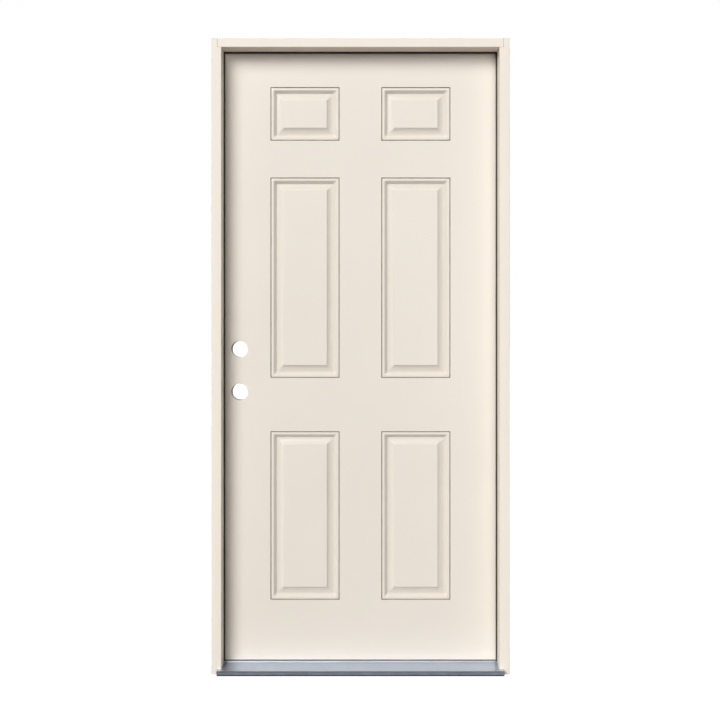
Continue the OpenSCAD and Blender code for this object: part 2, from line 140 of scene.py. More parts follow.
def finish_piece(piece, body, slot, *nodes):
    """The piece rides on a body, takes a slot's finish and stands for construction nodes."""
    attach(piece, body)
    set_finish(piece, slot)
    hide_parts(*nodes)
    print(piece.name, "-", len(piece.data.polygons), "faces, on", body)


print("tools ready")

# %% [markdown]
# ## The panel moulding
# A press stamps each skin from thin steel, so a panel's edge is one continuous bend: a narrow groove, a
# flat step, a slope down, and a long hollow that climbs back to the raised field. It is one curve of
# depth against inset, the distance from the panel's outline. A die can't make a knife edge, so the curve
# is averaged over a third of a millimetre, which rounds each bend.

# %% Section of the moulding
groove_w, groove_depth, groove_flat = 3.6, 2.4, 0.3
step_end, step_depth = 10.5, 0.7
slope_end, panel_depth = 20.0, 10.4
hollow_start, hollow_end = 21.0, 42.5
press_radius = 0.35
section_from, section_to, section_pitch = -4.0, 46.0, 0.02


def moulding_section():
    """Insets and depths in mm: straight runs, then an arc that leaves the bottom level and climbs to the
    field, all averaged twice over the press radius."""
    inset = np.arange(section_from, section_to, section_pitch)
    groove = (groove_w - groove_flat) / 2
    depth = np.interp(
        inset,
        [0, groove, groove_w - groove, groove_w, step_end, slope_end, hollow_start],
        [0, groove_depth, groove_depth, step_depth, step_depth, panel_depth, panel_depth],
    )
    rise, width = panel_depth - step_depth, hollow_end - hollow_start
    radius = (width**2 + rise**2) / (2 * rise)
    run = np.clip(inset - hollow_start, 0, width)
    depth -= radius - np.sqrt(radius**2 - run**2)
    window = np.ones(int(press_radius / section_pitch))
    window /= window.sum()
    for _ in range(2):
        depth = np.convolve(np.pad(depth, len(window), "edge"), window, "same")[len(window):-len(window)]
    return inset, depth


section_inset, section_depth = moulding_section()
print("deepest point of the moulding, mm:", round(float(section_depth.max()), 2))

# %% [markdown]
# ## The six panels
# Two columns of three panels. The margins are the flat stiles and rails between them. A point's inset
# in a panel is the distance to the nearest side of its outline. Where two sides are equally near, the
# moulding mitres, and a soft minimum rounds that mitre as the pressing does.

# %% Depth and painted shade of the skin over the face
side_margin, mullion, top_margin, bottom_margin = 160.9, 135.4, 118.9, 194.1
top_panel_h, low_panel_h = 174.9, 549.2
upper_rail, lock_rail = 119.5, 173.3
mitre_softness = 2.0
outside_all = -10.0
bend_margin = 0.45
# Painted shade at the foot of the slopes: its strength, and the insets where it starts, is full and ends.
foot_shade, foot_from, foot_full, foot_to = 0.2, slope_end - 1.5, hollow_start + 3, hollow_end - 5

panel_w = (2 * door_x / mm - 2 * side_margin - mullion) / 2
panel_x = (mullion + panel_w) / 2
low_z = door_bottom / mm + bottom_margin
tall_z = low_z + low_panel_h + lock_rail
top_z = door_top / mm - top_margin - top_panel_h
tall_panel_h = top_z - upper_rail - tall_z
panel_rows = [(low_z, low_panel_h), (tall_z, tall_panel_h), (top_z, top_panel_h)]


def soft_least(a, b, softness):
    """The lesser of a and b, rounded off where they differ by less than the softness."""
    near = np.clip(softness - np.abs(a - b), 0, None) / softness
    return np.minimum(a, b) - near**2 * softness / 4


def panel_inset(x, z):
    """How far inside the outline of its panel each point at x and z in mm lies. Outside it is negative."""
    inset = np.full(np.broadcast(x, z).shape, outside_all)
    for side in (-1, 1):
        for base, height in panel_rows:
            in_x = panel_w / 2 - np.abs(x - side * panel_x)
            in_z = height / 2 - np.abs(z - base - height / 2)
            inset = np.maximum(inset, soft_least(in_x, in_z, mitre_softness))
    return inset


def skin_depth(x, z):
    """Depth in mm of the pressed skin: the moulding's depth at the point's inset."""
    return np.interp(panel_inset(x, z), section_inset, section_depth)


def settled_dust(x, z):
    """How much shade is painted at a point, 0 to 1: all along the groove, and some from the foot of
    the slope up into the hollow, where shade falls."""
    groove = [0, bend_margin, groove_w - bend_margin, groove_w]
    foot = [foot_from, slope_end, foot_full, foot_to]
    return np.interp(panel_inset(x, z), groove + foot, [0, 1, 1, 0] + [0, foot_shade, foot_shade, 0])


print("panels, mm:", round(panel_w, 1), "wide and", [round(float(h), 1) for _, h in panel_rows], "high")

# %% [markdown]
# ## Lines of the skin's grid
# The grid needs close lines at the bends and few on the flats. The same insets serve both directions, so
# that the grid's diagonals lie on the mitres. Round each lock bore a square of evenly spaced lines
# carries a ring of cells that runs from the square to the circle. A guard line on the flat beside each
# bend keeps the bend's shading from spreading over the flat.

# %% Lines across and up the skin
mounts = {mount["name"]: mount for mount in frame["record"]["mounts"]}
bores = [np.array(mounts[name]["pos_m"])[[0, 2]] / mm for name in ("lock_bore", "deadbolt_bore")]
bore_r = mounts["lock_bore"]["dims"]["r_mm"]
bore_square = 34.0
bore_cells = 16
leaf_t = 2.2
notch_reach, notch_lines_each = 44, 23
hinges = [corners(name + "_hinge_door_leaf") for name in ("bottom", "middle", "top")]

guard, hollow_lines = 2.0, 9
bends = np.array([0, groove_w / 2, groove_w, step_end, slope_end, hollow_start, hollow_end])
insets = np.unique(np.concatenate([
    (bends[:, None] + [-bend_margin, 0, bend_margin]).ravel(),
    np.linspace(hollow_start, hollow_end, hollow_lines),
    [-guard, hollow_end + guard]]))


def panel_lines(middle, size):
    """The grid lines that one panel needs along one axis."""
    return np.concatenate([middle - size / 2 + insets, middle + size / 2 - insets])


def thinned(lines, gap=0.2):
    """Sorted lines, without those that lie closer than the gap to the one before."""
    lines = np.unique(lines)
    return lines[np.concatenate([[True], np.diff(lines) > gap])]


square_lines = np.linspace(-bore_square, bore_square, bore_cells + 1)
across = thinned(np.concatenate(
    [panel_lines(side * panel_x, panel_w) for side in (-1, 1)]
    + [bores[0][0] + square_lines, [door_x / mm - leaf_t, leaf_t - door_x / mm]]))
hinge_lines = np.concatenate([[low[2] / mm, high[2] / mm] for low, high in hinges])
notch = np.linspace(-notch_reach, notch_reach, notch_lines_each)
notch_lines = np.concatenate([(low[2] + high[2]) / 2 / mm + notch for low, high in hinges])
up = thinned(np.concatenate(
    [panel_lines(base + height / 2, height) for base, height in panel_rows]
    + [bore[1] + square_lines for bore in bores]
    + [[door_bottom / mm, door_top / mm], hinge_lines, notch_lines]))
print(len(across), "lines across and", len(up), "up")

# %% [markdown]
# ## The pressed skins
# Each skin is folded round the door's two long edges, over a small radius, and ends a little way back.
# So a row of the grid starts at one fold's end, turns on to the face, crosses it, and turns back at the
# other edge. On the hinge edge the outer fold is notched for the leaves' round corners, and the inner
# one is cut right away where the leaves pass. The bores are punched last, which rolls their rim in by a
# hair. Solidify then gives the sheet its thickness.

# %% One skin as a function of two parameters
fold_reach, fold_radius, sheet_t = 8.0, 1.2, 0.6
rim_roll, rim_band = 0.25, 0.9
leaf_corner = 15.9
straight_lines, bend_lines = 3, 6

straight = np.linspace(fold_reach, fold_radius, straight_lines + 1)[:-1]
bend = np.radians(np.linspace(0, 90, bend_lines))
fold_in = np.concatenate([np.zeros(straight_lines), fold_radius * (1 - np.cos(bend))])
fold_back = np.concatenate([straight, fold_radius * (1 - np.sin(bend))])


def leaf_edge(z):
    """How far behind the face the hinge leaf's rounded end lies at height z, in mm."""
    edge = np.full(z.shape, fold_reach)
    for low, high in hinges:
        middle, half = (low[2] + high[2]) / 2 / mm, (high[2] - low[2]) / 2 / mm
        beyond = np.clip(np.abs(z - middle) - half + leaf_corner, 0, None)
        rounded = np.sqrt(np.clip(leaf_corner**2 - beyond**2, 0, None))
        curve = low[1] / mm - face_y / mm + leaf_corner - rounded
        edge = np.where(beyond < leaf_corner, np.minimum(edge, curve), edge)
    return edge


def skin_rows(notched):
    """Points of a skin in mm as x, distance behind the face, z. Each column keeps its x, the folds turn
    back behind the face, and the panels' depth is added to the flat part."""
    edge = door_x / mm
    x = np.concatenate([-edge + fold_in, across, (edge - fold_in)[::-1]])
    back = np.concatenate([fold_back, np.zeros(len(across)), fold_back[::-1]])
    x, z = np.meshgrid(x, up)
    back = np.broadcast_to(back, x.shape) + np.where(np.abs(x) < edge - fold_radius, skin_depth(x, z), 0)
    if notched:
        reach = (leaf_edge(up)[:, None] - fold_radius) / (fold_reach - fold_radius)
        shorter = fold_radius + (back - fold_radius) * reach
        back = np.where((x > edge - fold_radius) & (back > fold_radius), shorter, back)
    return x, back, z


def skin_triangles(x, back, z):
    """Two triangles to a cell, split along the diagonal whose ends differ more in depth, which is the
    mitre. Cells inside a bore's square are left out."""
    quads = cells(*x.shape)
    middle_x, middle_z = x.ravel()[quads].mean(1), z.ravel()[quads].mean(1)
    keep = np.ones(len(quads), bool)
    for bore_x, bore_z in bores:
        keep &= (np.abs(middle_x - bore_x) > bore_square) | (np.abs(middle_z - bore_z) > bore_square)
    quads, depth = quads[keep], back.ravel()
    first = np.abs(depth[quads[:, 0]] - depth[quads[:, 2]]) >= np.abs(depth[quads[:, 1]] - depth[quads[:, 3]])
    order = np.where(first[:, None], [0, 1, 2, 0, 2, 3], [1, 2, 3, 1, 3, 0])
    return np.take_along_axis(quads, order, 1).reshape(-1, 3)


def bore_ring(bore_x, bore_z):
    """Cells between a bore's square and its circle: each ray from the square's edge shortens to the
    radius, and the last step rolls back behind the face."""
    t = np.linspace(-1, 1, bore_cells + 1)[:-1]
    one = np.ones(bore_cells)
    side_x, side_z = np.concatenate([t, one, -t, -one]), np.concatenate([-one, t, one, -t])
    angle = np.arctan2(side_z, side_x)
    share = np.array([0, 0.5, 1.0, 1.0, 1.0])[:, None]
    radius = np.array([0, 0, 2, 1, 0])[:, None] * rim_band + bore_r
    x = bore_x + (1 - share) * bore_square * side_x + share * radius * np.cos(angle)
    z = bore_z + (1 - share) * bore_square * side_z + share * radius * np.sin(angle)
    back = np.broadcast_to(np.array([0, 0, 0, 0, rim_roll])[:, None], x.shape)
    quads = cells(len(share), len(angle), ring=True)
    return np.stack([x, back, z], -1).reshape(-1, 3), quads[:, [0, 1, 2, 0, 2, 3]].reshape(-1, 3)


print("a fold turns over", len(bend), "lines")

# %% The two skins, as sheets with a thickness
def make_skin(name, outside):
    """The outer skin looks towards -Y. The inner one is its mirror image, cut away at the hinges."""
    x, back, z = skin_rows(notched=outside)
    sheet = (np.stack([x, back, z], -1), skin_triangles(x, back, z))
    points, faces = joined([sheet] + [bore_ring(*bore) for bore in bores])
    if not outside:
        middle = points[faces].mean(1)
        at_hinge = np.zeros(len(faces), bool)
        for low, high in hinges:
            at_hinge |= (middle[:, 2] > low[2] / mm) & (middle[:, 2] < high[2] / mm)
        faces = faces[~(at_hinge & (middle[:, 0] > door_x / mm - leaf_t))][:, ::-1]
    points = points * mm
    points[:, 1] = face_y + points[:, 1] if outside else inside_y - points[:, 1]
    piece = make_piece(name, points, faces, merge=0.02 * mm)
    sheet_metal = piece.modifiers.new("sheet", "SOLIDIFY")
    sheet_metal.thickness = sheet_t * mm
    sheet_metal.offset = -1
    settled = bpy.data.meshes.new_from_object(piece.evaluated_get(bpy.context.evaluated_depsgraph_get()))
    piece.modifiers.clear()
    piece.data = settled
    crisp(settled)
    place = np.empty(3 * len(settled.vertices))
    settled.vertices.foreach_get("co", place)
    x, _, z = place.reshape(-1, 3).T / mm
    # Painted shade, kept on the points as an attribute: darker in the groove and at the foot of the slopes.
    settled.attributes.new("settled_dust", "FLOAT", "POINT").data.foreach_set("value", settled_dust(x, z))
    return piece


outer_pressing = make_skin("outer_pressed_skin", outside=True)
inner_pressing = make_skin("inner_pressed_skin", outside=False)
finish_piece(outer_pressing, "door", "primed_steel", "outer_skin")
finish_piece(inner_pressing, "door", "primed_steel", "inner_skin")

# %% [markdown]
# ## The weatherstrips
# A strip of foam in a vinyl cover is pushed into a narrow groove of the stop, and the closed door
# squeezes it. Its section is a soft oval with a barbed fin. The section is carried up each side jamb and
# along the head, and swells and thins by a tenth of a millimetre or so, as a soft extrusion does.

# %% Section of a weatherstrip
fin_t, fin_from_edge, barb, barb_pitch = 1.4, 4.2, 1.4, 2.5
barb_steps = np.array([2.9, 2.1, 2, 1.1, 1, 0.1, 0])
oval_power, oval_points = 3.4, 48
stop_depth = 61.9
strip_pitch = 25
swell, swell_wave, swell_beat = 0.012, 23.0, 7.3


def oval(count):
    """A closed curve through (sign(cos a) |cos a|^(2/p), sign(sin a) |sin a|^(2/p)), where a goes once
    round from the bottom and p is the oval's power."""
    a = np.linspace(-np.pi / 2, 3 * np.pi / 2, count, endpoint=False)
    power = 2 / oval_power
    return np.stack([np.sign(np.cos(a)) * np.abs(np.cos(a)) ** power,
                     np.sign(np.sin(a)) * np.abs(np.sin(a)) ** power], -1)


def strip_section(width, depth, fin_root):
    """The section in metres, across from the strip's outer edge and back from the stop's face, of a strip
    that is this wide and deep. Its fin goes to fin_root."""
    body = (oval(oval_points) * 0.5 + 0.5) * [width, depth]
    fin_x = fin_from_edge * mm
    half = fin_t / 2 * mm
    under = (np.abs(body[:, 0] - fin_x) < 1.5 * half) & (body[:, 1] < depth / 2)
    body = np.roll(body, -np.flatnonzero(under).max() - 1, axis=0)[: (~under).sum()]
    steps = fin_root + barb_pitch * mm * barb_steps
    wide = np.array([half, barb * mm, half, barb * mm, half, barb * mm, half])
    fin_left = np.stack([fin_x - wide, steps], -1)
    fin_right = np.stack([fin_x + wide, steps], -1)[::-1]
    return np.vstack([body, fin_left, fin_right])


stop_y = frame_front + stop_depth * mm
print("the stops face inwards at", round(float(stop_y / mm), 2), "mm")

# %% Strips up the jambs and along the head
def run_of(section, places):
    """The section at each place along a run: rings of points, with a slow swell of the oval part, by the
    product of a sine and a slower cosine."""
    wave = 1 - swell * (1 + np.sin(places * swell_wave) * np.cos(places * swell_beat))
    middle = np.array([section[:, 0].mean(), 0])
    ring = middle + (section[None] - middle) * wave[:, None, None]
    ring[:, section[:, 1] <= 0] = section[section[:, 1] <= 0]
    return ring


def capped(rings):
    """Rings of points as a closed skin: the first and last ring are shut by fans to their middles."""
    rows, count = rings.shape[:2]
    points = np.vstack([rings.reshape(-1, 3), rings[0].mean(0), rings[-1].mean(0)])
    quads = cells(rows, count, ring=True)
    sides = quads[:, [0, 1, 2, 0, 2, 3]].reshape(-1, 3)
    k = np.arange(count)
    after = np.roll(k, -1)
    last = (rows - 1) * count
    start = np.stack([np.full(count, rows * count), after, k], -1)
    end = np.stack([np.full(count, rows * count + 1), last + k, last + after], -1)
    return points, np.vstack([sides, start, end])


def outwards(piece):
    """Turns a closed piece's faces to point out of it."""
    work = bmesh.new()
    work.from_mesh(piece.data)
    bmesh.ops.recalc_face_normals(work, faces=work.faces)
    work.to_mesh(piece.data)
    work.free()
    crisp(piece.data)
    return piece


def weatherstrip(node):
    """A strip that fills its construction node's box along its length. Its section's first way is across
    the opening, from the strip's outer edge, and its second is back from the stop."""
    low, high = corners(node)
    along = 0 if node.startswith("head") else 2
    places = np.arange(low[along], high[along], strip_pitch * mm)
    places = np.append(places[:-1], high[along])
    width = (high - low)[2 if along == 0 else 0]
    ring = run_of(strip_section(width, high[1] - stop_y, low[1] - stop_y), places)
    rings = np.zeros((*ring.shape[:2], 3))
    rings[..., 1] = stop_y + ring[..., 1]
    rings[..., along] = places[:, None]
    if node.startswith("head"):
        rings[..., 2] = high[2] - ring[..., 0]
    elif node.startswith("hinge"):
        rings[..., 0] = high[0] - ring[..., 0]
    else:
        rings[..., 0] = low[0] + ring[..., 0]
    return outwards(make_piece(node.replace("_weatherstrip", "_foam_strip"), *capped(rings)))


strips = [weatherstrip(node) for node in ("strike_weatherstrip", "hinge_weatherstrip", "head_weatherstrip")]
for strip in strips:
    finish_piece(strip, "frame", "seal_vinyl", strip.name.replace("_foam_strip", "_weatherstrip"))

# %% [markdown]
# ## The screws
# Countersunk wood screws hold the hinge leaves and join the frame's corners. A head is a disc with a
# cross recess that tapers to a point. The head and shank are one grid: rings round the screw's axis,
# from the middle of the recess out to the rim, down the cone and along the shank to its point.

# %% One screw, as rings round its axis
head_r, head_h, shank_r, tip_r = 4.2, 2.1, 2.1, 0.4
recess_depth, arm_reach, arm_half = 1.5, 2.5, 0.55
wall_slope, wall_foot, end_slope, recess_taper = 0.35, 0.25, 0.9, 0.45
inner_r, recess_margin, face_r, rim_w, rim_round = 0.15, 0.1, 3.2, 0.15, 0.12
recess_rings, around = 12, 40
golden_turn = 2.399963


def cross_recess(u, v):
    """Depth of the recess at u, v in mm: two crossed arms with sloping walls, deepest at the middle."""
    def arm(along, over):
        wall = np.clip((arm_half + wall_foot - np.abs(over)) / wall_slope, 0, 1)
        end = np.clip((arm_reach - np.abs(along)) / end_slope, 0, 1)
        return wall * end
    taper = 1 - recess_taper * np.hypot(u, v) / arm_reach
    return recess_depth * np.maximum(arm(u, v), arm(v, u)) * taper


def screw_grid(length, turn):
    """Points of a screw in mm along +X, with its head's face at 0 and its recess turned by an angle."""
    recess = np.linspace(inner_r, arm_reach + recess_margin, recess_rings)
    radius = np.concatenate([recess, [face_r, head_r - rim_w, head_r]])
    down = np.concatenate([np.zeros(len(radius) - 1), [rim_round]])
    radius = np.append(radius, [shank_r, shank_r, tip_r])
    down = np.append(down, [head_h, length - 2 * shank_r, length])
    angle = np.linspace(0, 2 * np.pi, around, endpoint=False)
    u, v = radius[:, None] * np.cos(angle), radius[:, None] * np.sin(angle)
    on_face = (radius < arm_reach + 2 * recess_margin)[:, None] & (down == 0)[:, None]
    depth = down[:, None] + np.where(on_face, cross_recess(u, v), 0)
    y, z = u * np.cos(turn) - v * np.sin(turn), u * np.sin(turn) + v * np.cos(turn)
    return np.stack([depth, y, z], -1)


def screws(name, places, away, length):
    """A set of screws at places in metres, driven along X: away is 1 for a set that points away from the
    door's middle and -1 for one that points towards it. Each recess stops at an angle of its own, one
    golden angle on from the one before."""
    parts = []
    for k, place in enumerate(places):
        rings = screw_grid(length, turn=(k + 1) * golden_turn)
        rings[..., 0] *= away * np.sign(place[0])
        parts.append(capped(rings * mm + place))
    return outwards(make_piece(name, *joined(parts)))


print("a screw has", screw_grid(length=25, turn=0).shape[0] * around, "points")

# %% Screws of the hinges and of the frame's joints
leaf_rows = [(-0.38, 0.68), (-0.16, 0.34), (0.16, 0.34), (0.38, 0.68)]
leaf_screw_in_jamb, leaf_screw_in_door, joint_screw = 17.55, 25.4, 50


def leaf_places(kind, x):
    """Where the screws of the three leaves sit: shares of a leaf's height from its middle, and of its
    reach in front of the door's inside face."""
    places = []
    for name in ("bottom", "middle", "top"):
        low, high = corners(f"{name}_hinge_{kind}_leaf")
        reach, middle, height = inside_y - low[1], (low[2] + high[2]) / 2, high[2] - low[2]
        for share_z, share_y in leaf_rows:
            places.append([x, inside_y - share_y * reach, middle + share_z * height])
    return np.array(places)


def joint_places(node):
    """The screws through the side jambs, two a side, at the middle of the node's height."""
    low, high = corners(node)
    middle = (low[2] + high[2]) / 2
    along = (low[1] + head_r * mm, high[1] - head_r * mm)
    return np.array([[x, y, middle] for x in (-frame_x, frame_x) for y in along])


jamb_leaf_places = leaf_places("frame", corners("frame_leaf_screws")[0][0])
door_leaf_places = leaf_places("door", corners("door_leaf_screws")[1][0])
head_places, sill_places = joint_places("head_joint_screws"), joint_places("sill_joint_screws")
screw_sets = [
    ("frame_hinge_screws", "frame", "frame_leaf_screws", jamb_leaf_places, 1, leaf_screw_in_jamb),
    ("door_hinge_screws", "door", "door_leaf_screws", door_leaf_places, -1, leaf_screw_in_door),
    ("head_corner_screws", "frame", "head_joint_screws", head_places, -1, joint_screw),
    ("sill_corner_screws", "frame", "sill_joint_screws", sill_places, -1, joint_screw),
]
screw_pieces = []
for name, body, node, places, away, length in screw_sets:
    screw_pieces.append(screws(name, places, away, length))
    finish_piece(screw_pieces[-1], body, "zinc_screw", node)

# %% [markdown]
# ## Tools for finishes
# Each finish is one material, worked out by nodes from the object's own coordinates in metres. What
# several finishes share, such as grain along a length or the mottle of a sprayed film, is a node group
# with named sockets. Each material sets its own amounts and keeps its own shader.

# %% Node helpers
def add(tree, kind, inputs=(), **settings):
    """A shader node. Inputs are values or sockets by name or number; settings are its own properties."""
    node = tree.nodes.new("ShaderNode" + kind)
    for key, value in settings.items():
        setattr(node, key, value)
    for key, value in (inputs.items() if isinstance(inputs, dict) else enumerate(inputs)):
        if isinstance(value, bpy.types.NodeSocket):
            tree.links.new(value, node.inputs[key])
        else:
            node.inputs[key].default_value = value
    return node


def group_of(name, inputs, outputs):
    """An empty node group with named sockets, and its input and output nodes."""
    tree = bpy.data.node_groups.new(name, "ShaderNodeTree")
    for label, kind, value in inputs:
        socket = tree.interface.new_socket(label, in_out="INPUT", socket_type="NodeSocket" + kind)
        if value is not None:
            socket.default_value = value
    for label, kind in outputs:
        tree.interface.new_socket(label, in_out="OUTPUT", socket_type="NodeSocket" + kind)
    return tree, tree.nodes.new("NodeGroupInput"), tree.nodes.new("NodeGroupOutput")


def use(tree, group, **inputs):
    """A group placed in a material, with its own amounts."""
    node = tree.nodes.new("ShaderNodeGroup")
    node.node_tree = group
    for key, value in inputs.items():
        socket = node.inputs[key.replace("_", " ")]
        if isinstance(value, bpy.types.NodeSocket):
            tree.links.new(value, socket)
        else:
            socket.default_value = value
    return node


print("node helpers ready")

# %% [markdown]
# ### Shared effects
# - Sprayed film: a primer coat is never quite even. Broad soft patches vary its tone and its gloss, and a
#   fine ripple, the orange peel, lies on its surface.
# - Lengthwise grain: fibres, extrusion lines and brush lines all run along a piece. Noise is stretched
#   along one axis, so it becomes fine streaks.
# - Rubbed edges: a coat is thinner and a metal is brighter along edges. The surface's normal is compared
#   with the same normal rounded over a small radius, and they differ only near an edge.

# %% Shared effects as node groups
def sprayed_film():
    """Three noises: broad patches of tone, smaller ones of gloss, and a fine peel."""
    tree, given, out = group_of(
        "Sprayed film",
        [("Vector", "Vector", None), ("Patch Scale", "Float", 3.0), ("Peel Scale", "Float", 500.0)],
        [("Tone", "Float"), ("Gloss", "Float"), ("Peel", "Float")],
    )
    patch = add(tree, "TexNoise", {"Vector": given.outputs["Vector"], "Scale": given.outputs["Patch Scale"],
                                   "Detail": 3.0, "Roughness": 0.55})
    cloud = add(tree, "TexNoise", {"Vector": given.outputs["Vector"], "Scale": 38.0, "Detail": 4.0})
    peel = add(tree, "TexNoise", {"Vector": given.outputs["Vector"], "Scale": given.outputs["Peel Scale"],
                                  "Detail": 1.5})
    tree.links.new(patch.outputs["Fac"], out.inputs["Tone"])
    tree.links.new(cloud.outputs["Fac"], out.inputs["Gloss"])
    tree.links.new(peel.outputs["Fac"], out.inputs["Peel"])
    return tree


def lengthwise_grain():
    """Two noises, one four times as fine, with their coordinates squeezed along the piece."""
    tree, given, out = group_of(
        "Lengthwise grain",
        [("Vector", "Vector", None), ("Stretch", "Vector", (1, 1, 0.02)), ("Scale", "Float", 400.0)],
        [("Streak", "Float"), ("Fine", "Float")],
    )
    along = add(tree, "VectorMath", [given.outputs["Vector"], given.outputs["Stretch"]], operation="MULTIPLY")
    broad = add(tree, "TexNoise", {"Vector": along.outputs[0], "Scale": given.outputs["Scale"],
                                   "Detail": 3.0, "Distortion": 0.4})
    finer = add(tree, "Math", [given.outputs["Scale"], 4.0], operation="MULTIPLY")
    fine = add(tree, "TexNoise", {"Vector": along.outputs[0], "Scale": finer.outputs[0], "Detail": 2.0})
    tree.links.new(broad.outputs["Fac"], out.inputs["Streak"])
    tree.links.new(fine.outputs["Fac"], out.inputs["Fine"])
    return tree


def rubbed_edges():
    """1 where the rounded normal leaves the plain one, broken up by a patchy noise."""
    tree, given, out = group_of(
        "Rubbed edges",
        [("Vector", "Vector", None), ("Radius", "Float", 0.001), ("Patchiness", "Float", 60.0)],
        [("Edge", "Float")],
    )
    rounded = add(tree, "Bevel", {"Radius": given.outputs["Radius"]}, samples=4)
    surface = add(tree, "NewGeometry")
    same = add(tree, "VectorMath", [rounded.outputs[0], surface.outputs["Normal"]], operation="DOT_PRODUCT")
    away = add(tree, "MapRange", {"Value": same.outputs["Value"], "From Min": 0.995, "From Max": 0.85,
                                  "To Min": 0.0, "To Max": 1.0})
    patches = add(tree, "TexNoise", {"Vector": given.outputs["Vector"], "Scale": given.outputs["Patchiness"],
                                     "Detail": 3.0})
    broken = add(tree, "MapRange", {"Value": patches.outputs["Fac"], "From Min": 0.35, "From Max": 0.65})
    edge = add(tree, "Math", [away.outputs[0], broken.outputs[0]], operation="MULTIPLY")
    tree.links.new(edge.outputs[0], out.inputs["Edge"])
    return tree


film, grain, rub = sprayed_film(), lengthwise_grain(), rubbed_edges()
print("shared effects:", film.name, "/", grain.name, "/", rub.name)

# %% Material helpers
def new_material(name, metallic=0.0, **sockets):
    """A material with its shader and its object coordinates. Plain amounts go on the shader's sockets."""
    material = bpy.data.materials.new(name)
    material.use_nodes = True
    tree = material.node_tree
    shader = tree.nodes["Principled BSDF"]
    shader.inputs["Metallic"].default_value = metallic
    for key, value in sockets.items():
        shader.inputs[key.replace("_", " ")].default_value = value
    return material, tree, shader, add(tree, "TexCoord").outputs["Object"]


def between(tree, factor, low, high):
    """A value that runs from low to high as the factor goes from 0.3 to 0.7, the middle of a noise."""
    return add(tree, "MapRange", {"Value": factor, "From Min": 0.3, "From Max": 0.7,
                                  "To Min": low, "To Max": high}).outputs[0]


def blended(tree, factor, one, other):
    """A colour between two colours, each a tuple or a socket."""
    mix = add(tree, "Mix", data_type="RGBA")
    tree.links.new(factor, mix.inputs[0])
    for socket, value in ((mix.inputs[6], one), (mix.inputs[7], other)):
        if isinstance(value, bpy.types.NodeSocket):
            tree.links.new(value, socket)
        else:
            socket.default_value = (*value, 1)
    return mix.outputs[2]


mottle = 0.012


def shade(colour, amount):
    """The colour, lighter or darker by an amount: 0.02 is two hundredths lighter."""
    return tuple(c * (1 + amount) for c in colour)


def bump(tree, shader, height, distance_mm, strength=1.0, below=None):
    """Relief from a height of 0 to 1, that many mm deep. It can lie on another relief below it."""
    node = add(tree, "Bump", {"Height": height, "Distance": distance_mm * mm, "Strength": strength})
    if below is not None:
        tree.links.new(below, node.inputs["Normal"])
    tree.links.new(node.outputs["Normal"], shader.inputs["Normal"])
    return node.outputs["Normal"]


print("material helpers ready")

# %% [markdown]
# ### Primer on steel
# The skins leave the works with a baked primer: a warm off-white with a low sheen. It is smooth, with a
# faint orange peel, and broad patches where the film is thicker are slightly lighter. Shade is painted
# into the panels' grooves and at the foot of their slopes, as a darker colour.

# %% Primed steel
# The second colour is painted shade, for the grooves and the foot of the slopes.
def primed_steel(colour=(0.815, 0.752, 0.672), dust_and_shade=(0.24, 0.195, 0.125)):
    material, tree, shader, place = new_material("Primed_steel", IOR=1.45)
    coat = use(tree, film, Vector=place, Patch_Scale=2.4, Peel_Scale=520.0)
    tone = between(tree, coat.outputs["Tone"], 0, 1)
    clean = blended(tree, tone, shade(colour, -mottle), shade(colour, mottle))
    # Painted shade: the skin's attribute, broken up a little by patches, darkens the grooves and the slopes'
    # foot.
    held = add(tree, "Attribute", attribute_name="settled_dust").outputs["Fac"]
    patchy = between(tree, coat.outputs["Gloss"], 0.75, 0.95)
    dust_and_shade_share = add(tree, "Math", [held, patchy], operation="MULTIPLY")
    tree.links.new(blended(tree, dust_and_shade_share.outputs[0], clean, dust_and_shade), shader.inputs["Base Color"])
    tree.links.new(between(tree, coat.outputs["Gloss"], 0.30, 0.37), shader.inputs["Roughness"])
    waviness = bump(tree, shader, coat.outputs["Tone"], 0.5, 0.5)
    bump(tree, shader, coat.outputs["Peel"], 0.02, 0.6, below=waviness)
    return material


skin_primer = primed_steel()
print("made", skin_primer.name)

# %% [markdown]
# ### Primer on wood
# The jambs are planed pine with a matt primer rolled over it. The grain still shows as fine shallow
# lines along each member, so the uprights and the head need a pattern that runs their own way. The coat
# is thin at the eased edges, where a little of the warm wood shows, and the joints at the head's ends show
# as hairlines through it.

# %% Primed wood
def corner_joint(tree, place, half_width=0.5 * mm):
    """1 on the hairline where the head meets a side jamb: in front of the stops, above the soffit."""
    spot = add(tree, "SeparateXYZ", {"Vector": place})
    across = add(tree, "Math", [spot.outputs["X"]], operation="ABSOLUTE")
    line = add(tree, "Math", [across.outputs[0], rabbet_x, half_width], operation="COMPARE")
    above = add(tree, "Math", [spot.outputs["Z"], soffit_z], operation="GREATER_THAN")
    front = add(tree, "Math", [spot.outputs["Y"], stop_y], operation="LESS_THAN")
    outer = add(tree, "Math", [above.outputs[0], front.outputs[0]], operation="MULTIPLY")
    return add(tree, "Math", [line.outputs[0], outer.outputs[0]], operation="MULTIPLY").outputs[0]


